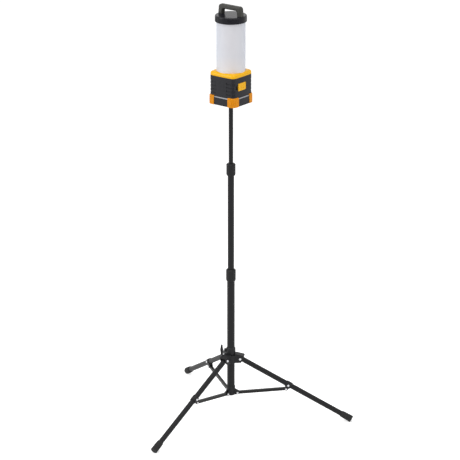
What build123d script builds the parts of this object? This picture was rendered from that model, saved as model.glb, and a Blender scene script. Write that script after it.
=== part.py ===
from build123d import *
import os
from math import atan2, cos, degrees, hypot, radians, sin

# A battery work light on a folding tripod stand. The frame stands on the floor
# (z = 0) with the mast on the Z axis, +Z up, and the lamp's front facing -Y.
# All sizes are in millimetres.

# ---- fits ----
fixed_gap = 0.05  # radial gap between pieces of one body
running_gap = 0.1  # radial gap of a shaft or tube that moves in its hole
side_gap = 0.2  # gap each side of a blade that turns between two cheeks
clear_gap = 0.4  # gap between moving skins that never touch

# ---- stance of the legs ----
pivot_r = 36.0  # leg pivot, from the mast axis
pivot_z = 227.0
foot_r = 446.0  # centre of a foot's end face
foot_z = 9.6
leg_azimuth = {"front": -90.0, "right": 30.0, "left": 150.0}

# ---- leg tubes ----
leg_d = 19.0
leg_wall = 1.2
leg_tail = 7.0  # tube beyond the pivot
leg_inset = 4.0  # tube end above the foot's end face
plug_length = 24.0
foot_length = 44.0
foot_top_d = 23.0
foot_end_d = 26.0

# ---- clip on the leg and brace ----
clip_s = 201.0  # clip centre, along the leg from its pivot
clip_length = 22.0
clip_wall = 2.5
pin_drop = 6.0  # brace pin below the clip's ring
brace_offset = leg_d / 2 + clip_wall + pin_drop  # brace pin below the leg axis
ear_t = 2.8
ear_end_r = 6.0
brace_h = 10.5
brace_w = 9.5
brace_wall = 1.3
brace_web = 1.6
brace_pin_d = 4.0
rivet_head_d = 8.0
rivet_head_t = 1.6

# ---- bottom collar ----
collar_pin_r = 26.0  # from the mast axis
collar_pin_z = 92.0
mast_bottom = 84.0
collar_wall = 2.0
collar_h = 33.0
collar_ear_z = 85.0
plug_flange_t = 1.5
plug_depth = 12.0

# ---- mast tubes ----
lower_d = 28.0
tube_wall = 1.2
middle_space = 1.3  # between the lower and middle tubes
top_space = 2.3  # between the middle and top tubes
middle_d = lower_d - 2 * (tube_wall + middle_space)
top_d = middle_d - 2 * (tube_wall + top_space)
lower_top = 548.0
middle_overlap = 90.0
middle_top = 948.0
top_bottom = 790.0
stop_h = 14.0

# ---- twist locks ----
lock_foot = 21.0  # ferrule below the tube's end
lock_lip = 3.0  # part of the ferrule that shows under the collar
lock_h = 41.0  # height of the twisting collar
lock_top_t = 4.0
lower_lock_d = lower_d + 7.6
upper_lock_d = middle_d + 10.0
ferrule_wall = 1.8
lock_flutes = 10
flute_d = 5.0
flute_depth = 1.1
bush_h = 13.5

# ---- hub ----
hub_bottom = 211.0
hub_barrel_d = lower_d + 16.0
hub_barrel_top = 241.0
hub_neck_top = 267.0
hub_neck_d = lower_d + 6.0
liner_t = 1.0
cheek_t = 3.0
arm_reach = 50.0
arm_tip_z = pivot_z + leg_d / 2 + 2.0
arm_web_t = 3.0
arm_web_z = pivot_z + leg_d / 2 + 7.0
hub_pin_d = 5.0
hub_rivet_head_d = 9.5
hub_rivet_head_t = 2.0

# ---- lock screw on the hub ----
screw_azimuth = 210.0
screw_z = 256.0
screw_d = 6.0
boss_d = 14.0
boss_reach = 24.0
knob_near = 29.0
knob_far = 39.0
wing_span = 40.0
wing_t = 7.0
knob_core_d = 13.0

# ---- lamp base ----
lamp_z = 1198.0  # underside of the lamp
body_side = 108.0
skirt_step = 2.5  # the skirt stands this far outside the body
skirt_side = body_side + 2 * skirt_step
skirt_corner = 16.0
bulge = 2.5  # how far each side bows out
skirt_h = 27.0
skirt_wall = 3.0
ledge_in = 9.0
trim_h = 3.2
trim_out = 2.2  # proud of the body
bumper_proud = 1.5
bumper_reach = 26.0
bumper_top = 33.0
bumper_foot = 1.0
bumper_groove_w = 3.0
bumper_groove_pitch = 6.5
bumper_groove_depth = 0.9
bumper_groove_from = 6.0  # above the lamp's underside
bumper_groove_h = 19.0
body_corner = 12.0
body_wall = 2.8
body_top = 104.0
base_plate_t = 3.0
face_out = body_side / 2 + bulge  # middle of a side, from the mast axis
base_screw_at = skirt_side / 2 - 13.5
base_screw_d = 3.2
base_screw_head_d = 7.0
pillar_d = 10.0

# ---- socket that the top tube stands in ----
socket_depth = 43.0
bush_roof = 4.0
bush_wall = 3.0
bush_flange_d = 30.0
bush_flange_t = 2.6
boss_wall = 3.4

# ---- grip grooves ----
groove_z = (41.0, 54.0, 67.0, 80.0)
groove_h = 6.0
groove_depth = 1.6
groove_from = 23.0
groove_wrap = 46.0

# ---- port door on the right side, hinged at its rear edge ----
door_z = 69.0
door_h = 27.0
door_front = -30.0
door_rear = 10.0
door_t = 3.4
door_x = face_out + 1.1  # outer face
door_pivot_x = face_out - 1.5
door_pivot_y = door_rear + 2.0
door_barrel_d = 3.4
door_pin_d = 1.6
door_pin_reach = 2.0
door_gap = 0.4
notch_w = 14.0
notch_h = 13.0
notch_depth = 3.2
notch_back_t = 2.4
panel_seat = 4.3  # panel face behind the face of the side
panel_x = face_out - panel_seat
panel_t = 3.0
panel_margin = 5.0
jack_d = 5.6
jack_pin_d = 2.0
jack_depth = 8.0
usb_w = 12.2
usb_h = 4.6
usb_tongue_t = 1.8
socket_box_t = 9.0

# ---- power button on the back ----
button_d = 18.0
button_y = face_out + 1.3
button_t = 5.0
button_flange_d = button_d + 4.0
button_travel = 2.0
switch_side = 14.0
switch_t = 8.0
switch_post = 4.0
switch_post_at = button_flange_d / 2 + 2.6

# ---- battery ----
cell_d = 18.5
cell_length = 65.0
cell_x = 24.0
cell_y = 31.0
tray_side = body_side - 2 * body_wall - 3.4
tray_t = 3.0
cup_wall = 1.5
cup_h = 12.0
board_side = 62.0
board_t = 1.6
board_drop = 5.0

# ---- shoulder, diffuser and light source ----
shoulder_h = 14.0
shoulder_round = 9.0
shoulder_floor = 3.0
wire_hole_d = 30.0
diffuser_d = 103.0
diffuser_wall = 2.5
seal_t = 1.5
cap_bottom = 295.0
cap_h = 23.0
cap_roof = 5.0
cap_d = diffuser_d + 10.0
cap_round = 4.0
cap_flute_d = 3.6
cap_flute_depth = 1.5
cap_flutes_per_zone = 9
cap_flute_pitch = 5.2  # degrees
core_d = 48.0
core_wall = 3.0
core_flange_t = 3.0
core_flange_gap = 1.0
strip_w = 14.0
strip_h = 178.0
strip_t = 1.6
chip_side = 3.5
chip_t = 0.8
chips = 11
chip_pitch = 15.0

# ---- handle ----
handle_h = 34.0
handle_bottom_w = 103.0
handle_top_w = handle_bottom_w - 6.0
handle_bar = 16.0
handle_leg = 19.0
handle_depth = 19.0
handle_corner = 10.0
handle_window_round = 6.0
handle_edge = 5.0
handle_screw_x = (handle_bottom_w - handle_leg) / 2
handle_screw_d = 4.0
handle_screw_head_d = 8.0
handle_screw_up = 14.0
handle_screw_head_t = 3.0

os.makedirs("parts", exist_ok=True)


def write(piece, name):
    """Labels a finished piece and writes it as parts/NAME.step."""
    piece.label = name
    export_step(piece, f"parts/{name}.step")


# ---- the leg's own directions, in the plane of a leg at azimuth 0 ----
leg_slope = atan2(pivot_z - foot_z, foot_r - pivot_r)
leg_length = hypot(pivot_z - foot_z, foot_r - pivot_r)
leg_plane = Plane(
    origin=(pivot_r, 0, pivot_z),
    x_dir=(0, 1, 0),
    z_dir=(cos(leg_slope), 0, -sin(leg_slope)),
)
clip_pin = (
    pivot_r + clip_s * cos(leg_slope) - brace_offset * sin(leg_slope),
    pivot_z - clip_s * sin(leg_slope) - brace_offset * cos(leg_slope),
)
clip_rivet_at = (
    pivot_r + clip_s * cos(leg_slope),
    pivot_z - clip_s * sin(leg_slope),
)
ear_in = brace_w / 2 + side_gap
leg_r = leg_d / 2
rivet_r = brace_pin_d / 2


def cross_pin(at, pin_r, head_r, head_t, half_grip, from_y=0.0):
    """A pin across the leg's plane at (r, z), with a round head at each end."""
    shank = Plane(origin=(at[0], from_y, at[1]), x_dir=(1, 0, 0), z_dir=(0, 1, 0))
    with BuildPart() as pin:
        with BuildSketch(shank):
            Circle(pin_r)
        extrude(amount=half_grip - from_y)
        with BuildSketch(shank.offset(half_grip - from_y)):
            Circle(head_r)
        extrude(amount=head_t, taper=20)
        if from_y == 0:
            mirror(about=Plane.XZ)
    return pin.part


def cross_rod(at, rod_r):
    """A long rod across the leg's plane at (r, z), for cutting a pin's hole."""
    with BuildPart() as rod:
        with BuildSketch(Plane(origin=(at[0], 0, at[1]), x_dir=(1, 0, 0), z_dir=(0, 1, 0))):
            Circle(rod_r)
        extrude(amount=hub_barrel_d, both=True)
    return rod.part


# ======================= legs =======================

with BuildPart() as leg:
    with BuildSketch(leg_plane.offset(-leg_tail)):
        Circle(leg_r)
        Circle(leg_r - leg_wall, mode=Mode.SUBTRACT)
    extrude(amount=leg_tail + leg_length - leg_inset)
    add(cross_rod((pivot_r, pivot_z), hub_pin_d / 2 + running_gap), mode=Mode.SUBTRACT)
    add(cross_rod(clip_rivet_at, rivet_r + fixed_gap), mode=Mode.SUBTRACT)

with BuildPart() as leg_plug:
    with BuildSketch(leg_plane.offset(-leg_tail)):
        Circle(leg_r - leg_wall - fixed_gap)
    extrude(amount=plug_length)
    add(cross_rod((pivot_r, pivot_z), hub_pin_d / 2 + running_gap), mode=Mode.SUBTRACT)

with BuildPart() as foot:
    with BuildSketch(leg_plane.offset(leg_length - foot_length)):
        Circle(foot_top_d / 2)
    with BuildSketch(leg_plane.offset(leg_length)):
        Circle(foot_end_d / 2)
    loft()
    fillet(foot.edges().filter_by(GeomType.CIRCLE).sort_by(Axis.Z)[-1], 1.0)
    with BuildSketch(leg_plane.offset(leg_length - foot_length)):
        Circle(leg_r + fixed_gap)
    extrude(amount=foot_length - leg_inset, mode=Mode.SUBTRACT)
    # The worn rim stands flat on the floor.
    with BuildSketch(Plane.XY):
        with Locations((foot_r, 0)):
            Rectangle(3 * foot_length, 2 * foot_end_d)
    extrude(amount=-foot_end_d, mode=Mode.SUBTRACT)

with BuildPart() as leg_clip:
    with BuildSketch(leg_plane.offset(clip_s - clip_length / 2)):
        Circle(leg_r + clip_wall)
    extrude(amount=clip_length)
    for side in (1, -1):
        with BuildSketch(Plane(origin=(0, 0, 0), x_dir=(1, 0, 0), z_dir=(0, -1, 0))):
            with Locations(clip_pin):
                Circle(ear_end_r)
            with BuildLine():
                Polyline(
                    (clip_rivet_at[0] - clip_length / 2 * cos(leg_slope),
                     clip_rivet_at[1] + clip_length / 2 * sin(leg_slope)),
                    (clip_rivet_at[0] + clip_length / 2 * cos(leg_slope),
                     clip_rivet_at[1] - clip_length / 2 * sin(leg_slope)),
                    (clip_pin[0] + ear_end_r * cos(leg_slope),
                     clip_pin[1] - ear_end_r * sin(leg_slope)),
                    (clip_pin[0] - ear_end_r * cos(leg_slope),
                     clip_pin[1] + ear_end_r * sin(leg_slope)),
                    close=True,
                )
            make_face()
        extrude(amount=side * (ear_in + ear_t))
    with BuildSketch(Plane(origin=(0, 0, 0), x_dir=(1, 0, 0), z_dir=(0, -1, 0))):
        with Locations(Location((*clip_pin, 0), (0, 0, -degrees(leg_slope)))):
            Rectangle(
                4 * ear_end_r,
                2 * (brace_offset - leg_r - clip_wall),
            )
    extrude(amount=ear_in, both=True, mode=Mode.SUBTRACT)
    with BuildSketch(leg_plane.offset(clip_s - clip_length)):
        Circle(leg_r + fixed_gap)
    extrude(amount=2 * clip_length, mode=Mode.SUBTRACT)
    add(cross_rod(clip_pin, rivet_r + fixed_gap), mode=Mode.SUBTRACT)
    add(cross_rod(clip_rivet_at, rivet_r + fixed_gap), mode=Mode.SUBTRACT)

with BuildPart() as leg_rivets:
    add(cross_pin(clip_pin, rivet_r, rivet_head_d / 2, rivet_head_t, ear_in + ear_t))
    add(cross_pin(clip_rivet_at, rivet_r, rivet_head_d / 2, rivet_head_t, leg_r + clip_wall))

# ======================= braces =======================

brace_rise = atan2(clip_pin[1] - collar_pin_z, clip_pin[0] - collar_pin_r)
brace_length = hypot(clip_pin[1] - collar_pin_z, clip_pin[0] - collar_pin_r)
brace_mid = ((clip_pin[0] + collar_pin_r) / 2, (clip_pin[1] + collar_pin_z) / 2)
side_plane = Plane(origin=(0, 0, 0), x_dir=(1, 0, 0), z_dir=(0, -1, 0))

with BuildPart() as brace:
    with BuildSketch(side_plane):
        with Locations(Location((*brace_mid, 0), (0, 0, degrees(brace_rise)))):
            SlotCenterToCenter(brace_length, brace_h)
    extrude(amount=brace_w / 2, both=True)
    with BuildSketch(side_plane):
        with Locations(Location((*brace_mid, 0), (0, 0, degrees(brace_rise)))):
            with Locations((0, -brace_web)):
                Rectangle(brace_length + 2 * brace_h, brace_h)
    extrude(amount=brace_w / 2 - brace_wall, both=True, mode=Mode.SUBTRACT)
    add(cross_rod(clip_pin, rivet_r + running_gap), mode=Mode.SUBTRACT)
    add(cross_rod((collar_pin_r, collar_pin_z), rivet_r + running_gap), mode=Mode.SUBTRACT)

for name, azimuth in leg_azimuth.items():
    write(leg.part.rotate(Axis.Z, azimuth), f"leg_{name}")
    write(leg_plug.part.rotate(Axis.Z, azimuth), f"leg_plug_{name}")
    write(foot.part.rotate(Axis.Z, azimuth), f"foot_{name}")
    write(leg_clip.part.rotate(Axis.Z, azimuth), f"leg_clip_{name}")
    write(leg_rivets.part.rotate(Axis.Z, azimuth), f"leg_rivets_{name}")
    write(brace.part.rotate(Axis.Z, azimuth), f"brace_{name}")

# ======================= bottom collar =======================

collar_outer_r = lower_d / 2 + collar_wall

with BuildPart() as collar_arm:
    with BuildSketch(side_plane):
        with Locations((collar_pin_r, collar_pin_z)):
            Circle(ear_end_r)
        with BuildLine():
            Polyline(
                (lower_d / 2 + collar_wall / 2, collar_ear_z),
                (collar_pin_r, collar_pin_z - ear_end_r),
                (collar_pin_r, collar_pin_z + ear_end_r),
                (lower_d / 2 + collar_wall / 2, collar_pin_z + 2 * ear_end_r),
                close=True,
            )
        make_face()
    extrude(amount=ear_in + ear_t, both=True)
    with BuildSketch(side_plane):
        with Locations((collar_pin_r + collar_outer_r, collar_pin_z)):
            Rectangle(2 * collar_pin_r, 2 * collar_h)
    extrude(amount=ear_in, both=True, mode=Mode.SUBTRACT)
    add(cross_rod((collar_pin_r, collar_pin_z), rivet_r + fixed_gap), mode=Mode.SUBTRACT)

with BuildPart() as bottom_collar:
    with BuildSketch(Plane.XY.offset(mast_bottom)):
        Circle(collar_outer_r)
    extrude(amount=collar_h)
    chamfer(bottom_collar.edges().sort_by(Axis.Z)[-1], 1.2)
    for azimuth in leg_azimuth.values():
        add(collar_arm.part.rotate(Axis.Z, azimuth))
    with BuildSketch(Plane.XY.offset(mast_bottom - 1)):
        Circle(lower_d / 2 + fixed_gap)
    extrude(amount=collar_h + 2, mode=Mode.SUBTRACT)
write(bottom_collar.part, "bottom_collar")

# Each rivet ends inside its own ear: the brace's eye is held by the leg's clip.
collar_stub = cross_pin(
    (collar_pin_r, collar_pin_z), rivet_r, rivet_head_d / 2, rivet_head_t, ear_in + ear_t, ear_in
)
with BuildPart() as collar_rivets:
    for azimuth in leg_azimuth.values():
        add(collar_stub.rotate(Axis.Z, azimuth))
        add(collar_stub.mirror(Plane.XZ).rotate(Axis.Z, azimuth))
write(collar_rivets.part, "collar_rivets")

with BuildPart() as tube_end_plug:
    with BuildSketch(Plane.XY.offset(mast_bottom - plug_flange_t)):
        Circle(lower_d / 2)
    extrude(amount=plug_flange_t)
    with BuildSketch(Plane.XY.offset(mast_bottom)):
        Circle(lower_d / 2 - tube_wall - fixed_gap)
    extrude(amount=plug_depth)
write(tube_end_plug.part, "tube_end_plug")

# ======================= mast tubes =======================


def tube(outer_d, bottom, top):
    """A plain round tube on the mast axis."""
    with BuildPart() as pipe:
        with BuildSketch(Plane.XY.offset(bottom)):
            Circle(outer_d / 2)
            Circle(outer_d / 2 - tube_wall, mode=Mode.SUBTRACT)
        extrude(amount=top - bottom)
    return pipe.part


middle_bottom = lower_top - middle_overlap
tube_top = lamp_z + socket_depth
write(tube(lower_d, mast_bottom, lower_top), "lower_tube")
write(tube(middle_d, middle_bottom, middle_top), "middle_tube")
write(tube(top_d, top_bottom, tube_top), "top_tube")


def stop_ring(inner_d, outer_d, bottom):
    """The nylon ring round a tube's foot, which steadies it in the next tube."""
    with BuildPart() as ring:
        with BuildSketch(Plane.XY.offset(bottom)):
            Circle(outer_d / 2 - tube_wall - running_gap)
            Circle(inner_d / 2 + fixed_gap, mode=Mode.SUBTRACT)
        extrude(amount=stop_h)
        chamfer(ring.edges().group_by(Axis.Z)[0], 0.4)
    return ring.part


write(stop_ring(middle_d, lower_d, middle_bottom), "middle_stop_ring")
write(stop_ring(top_d, middle_d, top_bottom), "top_stop_ring")

# ======================= twist locks =======================


def twist_lock(prefix, outside_d, inside_d, collar_d, tube_end):
    """A ferrule on the outer tube, a split bush on the inner one, and a collar that turns."""
    bottom = tube_end - lock_foot
    ferrule_r = outside_d / 2 + ferrule_wall
    ferrule_top = tube_end + lock_lip
    collar_bottom = bottom + lock_lip + running_gap
    collar_top = collar_bottom + lock_h
    inner_r = inside_d / 2

    with BuildPart() as ferrule:
        with BuildSketch(Plane.XY.offset(bottom)):
            Circle(collar_d / 2 - flute_depth)
        extrude(amount=lock_lip)
        chamfer(ferrule.edges().sort_by(Axis.Z)[0], 1.0)
        with BuildSketch(Plane.XY.offset(bottom + lock_lip)):
            Circle(ferrule_r)
        extrude(amount=ferrule_top - bottom - lock_lip)
        with BuildSketch(Plane.XY.offset(bottom)):
            Circle(outside_d / 2 + fixed_gap)
        extrude(amount=tube_end - bottom, mode=Mode.SUBTRACT)
        with BuildSketch(Plane.XY.offset(tube_end)):
            Circle(inner_r + running_gap)
        extrude(amount=2 * lock_lip, mode=Mode.SUBTRACT)
    write(ferrule.part, f"{prefix}_lock_ferrule")

    bush_bottom_r = ferrule_r - 2 * clear_gap
    bush_top_r = inner_r + 1.2
    with BuildPart() as bush:
        with BuildSketch(Plane.XY.offset(ferrule_top)):
            Circle(bush_bottom_r)
        with BuildSketch(Plane.XY.offset(ferrule_top + bush_h)):
            Circle(bush_top_r)
        loft()
        with BuildSketch(Plane.XY.offset(ferrule_top)):
            Circle(inner_r + running_gap)
            with Locations((ferrule_r, 0)):
                Rectangle(2 * ferrule_r, 1.2)
        extrude(amount=bush_h, mode=Mode.SUBTRACT)
    write(bush.part, f"{prefix}_lock_bush")

    with BuildPart() as collar:
        with BuildSketch(Plane.XY.offset(collar_bottom)):
            Circle(collar_d / 2)
        extrude(amount=lock_h)
        chamfer(collar.edges().group_by(Axis.Z)[-1], 3.2)
        chamfer(collar.edges().group_by(Axis.Z)[0], 1.2)
        flute_r = flute_d / 2
        with BuildSketch(Plane.XY.offset(collar_bottom)):
            with PolarLocations(collar_d / 2 + flute_r - flute_depth, lock_flutes):
                Circle(flute_r)
        extrude(amount=lock_h, mode=Mode.SUBTRACT)
        # Straight bore over the ferrule, cone over the bush, neck round the tube.
        with BuildSketch(Plane.XZ):
            with BuildLine():
                Polyline(
                    (0, collar_bottom),
                    (ferrule_r + running_gap, collar_bottom),
                    (ferrule_r + running_gap, ferrule_top + running_gap),
                    (bush_top_r + clear_gap, ferrule_top + bush_h + clear_gap),
                    (inner_r + clear_gap, collar_top - lock_top_t),
                    (inner_r + clear_gap, collar_top),
                    (0, collar_top),
                    close=True,
                )
            make_face()
        revolve(axis=Axis.Z, mode=Mode.SUBTRACT)
    write(collar.part, f"{prefix}_lock_collar")


twist_lock("lower", lower_d, middle_d, lower_lock_d, lower_top)
twist_lock("upper", middle_d, top_d, upper_lock_d, middle_top)

# ======================= hub =======================

slot_half = leg_r + side_gap
cheek_out = slot_half + cheek_t
liner_outer_r = lower_d / 2 + running_gap + liner_t

with BuildPart() as hub_arm:
    with BuildSketch(side_plane):
        with BuildLine():
            Polyline(
                (lower_d / 2 + 2, hub_bottom),
                (pivot_r + 3, hub_bottom + 2),
                (pivot_r + 10, pivot_z - 2),
                (arm_reach, arm_tip_z),
                (arm_reach - 4, arm_web_z - 2),
                (lower_d / 2 + 4, arm_web_z + 3),
                (lower_d / 2 + 2, arm_web_z + 3),
                close=True,
            )
        make_face()
    extrude(amount=cheek_out, both=True)
    fillet(hub_arm.edges().filter_by(Axis.Y), 1.5)
    with BuildSketch(side_plane):
        with BuildLine():
            Polyline(
                (lower_d / 2, hub_bottom - 5),
                (arm_reach + 5, hub_bottom - 5),
                (arm_reach + 5, arm_tip_z - arm_web_t),
                (arm_reach - 4, arm_web_z - 2 - arm_web_t),
                (lower_d / 2, arm_web_z - arm_web_t + 1),
                close=True,
            )
        make_face()
    extrude(amount=slot_half, both=True, mode=Mode.SUBTRACT)
    add(cross_rod((pivot_r, pivot_z), hub_pin_d / 2 + fixed_gap), mode=Mode.SUBTRACT)

screw_plane = Plane(
    origin=(0, 0, screw_z),
    x_dir=(0, 0, 1),
    z_dir=(cos(radians(screw_azimuth)), sin(radians(screw_azimuth)), 0),
)

with BuildPart() as hub:
    for azimuth in leg_azimuth.values():
        add(hub_arm.part.rotate(Axis.Z, azimuth))
    with BuildSketch(Plane.XY.offset(hub_bottom)):
        Circle(hub_barrel_d / 2)
    extrude(amount=hub_barrel_top - hub_bottom)
    with BuildSketch(Plane.XY.offset(hub_barrel_top - 1)):
        Circle(hub_neck_d / 2)
    extrude(amount=hub_neck_top - hub_barrel_top + 1)
    chamfer(hub.edges().sort_by(Axis.Z)[-1], 1.2)
    with BuildSketch(screw_plane):
        Circle(boss_d / 2)
    extrude(amount=boss_reach)
    with BuildSketch(Plane.XY.offset(hub_bottom - 1)):
        Circle(liner_outer_r + fixed_gap)
    extrude(amount=hub_neck_top - hub_bottom + 2, mode=Mode.SUBTRACT)
    with BuildSketch(screw_plane):
        Circle(screw_d / 2 + fixed_gap)
    extrude(amount=2 * boss_reach, mode=Mode.SUBTRACT)
write(hub.part, "hub")

with BuildPart() as hub_liner:
    with BuildSketch(Plane.XY.offset(hub_bottom)):
        Circle(liner_outer_r)
        Circle(lower_d / 2 + running_gap, mode=Mode.SUBTRACT)
    extrude(amount=hub_neck_top - hub_bottom)
    with BuildSketch(screw_plane):
        Circle(screw_d / 2 + fixed_gap)
    extrude(amount=boss_reach, mode=Mode.SUBTRACT)
write(hub_liner.part, "hub_liner")

hub_pin = cross_pin(
    (pivot_r, pivot_z), hub_pin_d / 2, hub_rivet_head_d / 2, hub_rivet_head_t, cheek_out
)
with BuildPart() as hub_rivets:
    for azimuth in leg_azimuth.values():
        add(hub_pin.rotate(Axis.Z, azimuth))
write(hub_rivets.part, "hub_rivets")

with BuildPart() as lock_screw:
    with BuildSketch(screw_plane.offset(lower_d / 2 + 2 * running_gap)):
        Circle(screw_d / 2 - fixed_gap)
    extrude(amount=knob_far - 3 - lower_d / 2)
write(lock_screw.part, "lock_screw")

with BuildPart() as lock_knob:
    with BuildSketch(screw_plane.offset(knob_near)):
        Circle(knob_core_d / 2)
    extrude(amount=knob_far - knob_near, taper=4)
    with BuildSketch(screw_plane.offset(knob_near + 2)):
        SlotOverall(wing_span, wing_t)
    extrude(amount=knob_far - knob_near - 2)
    fillet(lock_knob.edges().group_by(SortBy.LENGTH)[-1], 1.2)
    with BuildSketch(screw_plane):
        Circle(screw_d / 2)
    extrude(amount=knob_far - 2, mode=Mode.SUBTRACT)
write(lock_knob.part, "lock_knob")

# ======================= lamp base =======================


def plan(side, corner, z):
    """A square with bowed sides and round corners, at height z above the lamp's underside."""
    half = side / 2
    corners = [(-half, -half), (half, -half), (half, half), (-half, half)]
    mids = [(0, -half - bulge), (half + bulge, 0), (0, half + bulge), (-half - bulge, 0)]
    with BuildSketch(Plane.XY.offset(lamp_z + z)) as outline:
        with BuildLine():
            for i in range(4):
                ThreePointArc(corners[i], mids[i], corners[(i + 1) % 4])
        make_face()
        fillet(outline.vertices(), corner)
    return outline.sketch


def corner_blocks(reach, bottom, top):
    """Boxes over the four corners of the lamp's base."""
    near = skirt_side / 2 - reach
    with BuildPart() as blocks:
        with BuildSketch(Plane.XY.offset(lamp_z + bottom)):
            with GridLocations(2 * near + skirt_side, 2 * near + skirt_side, 2, 2):
                Rectangle(skirt_side, skirt_side)
        extrude(amount=top - bottom)
    return blocks.part


with BuildPart() as base_skirt:
    add(plan(skirt_side, skirt_corner, 0))
    extrude(amount=skirt_h)
    add(plan(skirt_side - 2 * skirt_wall, skirt_corner - skirt_wall, 0))
    extrude(amount=skirt_h - skirt_wall, mode=Mode.SUBTRACT)
    add(plan(skirt_side - 2 * ledge_in, skirt_corner - skirt_wall, 0))
    extrude(amount=skirt_h, mode=Mode.SUBTRACT)
    with BuildSketch(Plane.XY.offset(lamp_z + base_plate_t + 1)):
        with GridLocations(2 * base_screw_at, 2 * base_screw_at, 2, 2):
            Circle(pillar_d / 2)
    extrude(amount=skirt_h - skirt_wall - base_plate_t - 1 + 0.5)
    with BuildSketch(Plane.XY.offset(lamp_z)):
        with GridLocations(2 * base_screw_at, 2 * base_screw_at, 2, 2):
            Circle(base_screw_d / 2 + fixed_gap)
    extrude(amount=skirt_h - skirt_wall, mode=Mode.SUBTRACT)
write(base_skirt.part, "base_skirt")

with BuildPart() as base_trim:
    add(plan(body_side + 2 * trim_out, body_corner + trim_out, skirt_h))
    extrude(amount=trim_h)
    chamfer(base_trim.edges().group_by(Axis.Z)[-1], trim_out - 0.6)
    add(plan(body_side + 2 * fixed_gap, body_corner, skirt_h))
    extrude(amount=trim_h, mode=Mode.SUBTRACT)
    add(corner_blocks(bumper_reach + fixed_gap, skirt_h - 1, bumper_top), mode=Mode.SUBTRACT)
write(base_trim.part, "base_trim")

# A corner's round starts early, because the bowed sides meet it at more than a right angle.
bumper_side = skirt_side + 2 * bumper_proud
bumper_bend_r = skirt_corner + bumper_proud
bumper_lean = 2 * atan2(bulge, bumper_side / 2)
bumper_bend_at = bumper_side / 2 - bumper_bend_r * sin(radians(45)) / sin(radians(45) + bumper_lean)

with BuildPart() as corner_bumpers:
    add(plan(bumper_side, bumper_bend_r, -bumper_foot))
    extrude(amount=bumper_foot + bumper_top)
    chamfer(corner_bumpers.edges().group_by(Axis.Z)[-1], 2.4)
    chamfer(corner_bumpers.edges().group_by(Axis.Z)[0], 0.8)
    add(corner_blocks(bumper_reach, -bumper_foot, bumper_top), mode=Mode.INTERSECT)
    add(plan(skirt_side + 2 * fixed_gap, skirt_corner, -bumper_foot))
    extrude(amount=bumper_foot + skirt_h, mode=Mode.SUBTRACT)
    add(plan(body_side + 2 * fixed_gap, body_corner, skirt_h))
    extrude(amount=bumper_top, mode=Mode.SUBTRACT)
    # Three upright grooves across each corner's round.
    with BuildSketch(Plane.XY.offset(lamp_z + bumper_groove_from)):
        for turn in (0, 90, 180, 270):
            for groove_turn in (-1, 0, 1):
                bend_angle = 45 + groove_turn * degrees(bumper_groove_pitch / bumper_bend_r)
                groove_x = bumper_bend_at + bumper_bend_r * cos(radians(bend_angle))
                groove_y = bumper_bend_at + bumper_bend_r * sin(radians(bend_angle))
                at = Vector(groove_x, groove_y).rotate(Axis.Z, turn)
                with Locations(Location((at.X, at.Y, 0), (0, 0, bend_angle + turn))):
                    Rectangle(2 * bumper_groove_depth, bumper_groove_w)
    extrude(amount=bumper_groove_h, mode=Mode.SUBTRACT)
write(corner_bumpers.part, "corner_bumpers")

bush_outer_r = top_d / 2 + running_gap + bush_wall
boss_inner_r = bush_outer_r + running_gap
boss_outer_r = boss_inner_r + boss_wall
bush_top = socket_depth + bush_roof

with BuildPart() as base_plate:
    add(plan(skirt_side - 2 * skirt_wall - 0.4, skirt_corner - skirt_wall, 1))
    extrude(amount=base_plate_t)
    with BuildSketch(Plane.XY.offset(lamp_z + 1)):
        Circle(boss_outer_r)
    extrude(amount=bush_top + boss_wall)
    with BuildSketch(Plane.XY.offset(lamp_z)):
        Circle(boss_inner_r)
    extrude(amount=bush_top + running_gap, mode=Mode.SUBTRACT)
    with BuildSketch(Plane.XY.offset(lamp_z)):
        with GridLocations(2 * base_screw_at, 2 * base_screw_at, 2, 2):
            Circle(base_screw_d / 2 + fixed_gap)
    extrude(amount=2 * base_plate_t, mode=Mode.SUBTRACT)
    with BuildSketch(Plane.XY.offset(lamp_z)):
        with GridLocations(2 * base_screw_at, 2 * base_screw_at, 2, 2):
            Circle(base_screw_head_d / 2 + running_gap)
    extrude(amount=base_plate_t - 1, mode=Mode.SUBTRACT)
write(base_plate.part, "base_plate")

with BuildPart() as base_screws:
    with BuildSketch(Plane.XY.offset(lamp_z + base_plate_t - 1)):
        with GridLocations(2 * base_screw_at, 2 * base_screw_at, 2, 2):
            Circle(base_screw_head_d / 2)
    extrude(amount=-1.6)
    with BuildSketch(Plane.XY.offset(lamp_z + base_plate_t - 1)):
        with GridLocations(2 * base_screw_at, 2 * base_screw_at, 2, 2):
            Circle(base_screw_d / 2)
    extrude(amount=14)
write(base_screws.part, "base_screws")

with BuildPart() as socket_bush:
    with BuildSketch(Plane.XY.offset(lamp_z - bush_flange_t + 1 - running_gap)):
        Circle(bush_flange_d / 2)
    extrude(amount=bush_flange_t)
    with BuildSketch(Plane.XY.offset(lamp_z)):
        Circle(bush_outer_r)
    extrude(amount=bush_top)
    with BuildSketch(Plane.XY.offset(lamp_z - bush_flange_t)):
        Circle(top_d / 2 + running_gap)
    extrude(amount=bush_flange_t + socket_depth, mode=Mode.SUBTRACT)
write(socket_bush.part, "socket_bush")

# ======================= lamp housing =======================

door_mid_y = (door_front + door_rear) / 2
door_opening_rear = door_pivot_y + door_barrel_d / 2 + door_gap
door_opening_front = door_front - door_gap
door_opening_w = door_opening_rear - door_opening_front
door_plane = Plane(origin=(0, 0, lamp_z + door_z), x_dir=(0, 1, 0), z_dir=(1, 0, 0))
button_plane = Plane(origin=(0, 0, lamp_z + door_z), x_dir=(1, 0, 0), z_dir=(0, 1, 0))

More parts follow.
